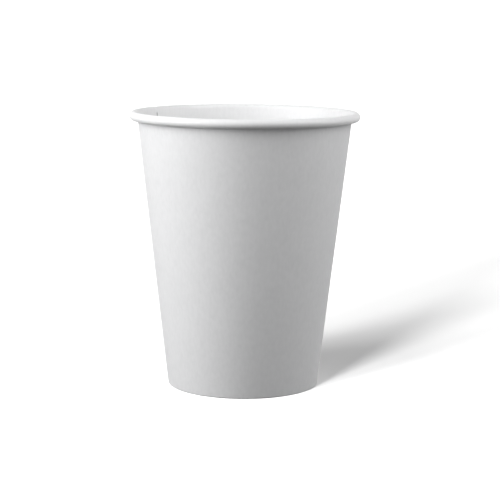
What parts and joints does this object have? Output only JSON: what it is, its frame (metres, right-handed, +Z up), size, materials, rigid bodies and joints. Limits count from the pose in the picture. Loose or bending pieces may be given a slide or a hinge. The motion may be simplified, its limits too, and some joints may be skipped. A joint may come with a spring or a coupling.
{
  "type": "paper coffee cup",
  "caption": "Tapered paper cup for hot drinks, with a lapped side seam, a rolled rim and a folded foot that holds a recessed floor.",
  "frame": {"origin": "centre of the foot ring, on the surface that the cup stands on", "axes": "+Z up along the cup's axis to the rim; -Y towards the picture's camera, +X to its right"},
  "size_m": [0.09, 0.09, 0.1077],
  "materials": {
    "wall_board": "smooth white cup board, matte outside and faintly glossy on the coated food side",
    "floor_board": "smooth white cup board, faintly glossy coating on the food side"
  },
  "bodies": {
    "root": {"side_wall": "wall_board", "bottom_disc": "floor_board"}
  },
  "joints": []
}
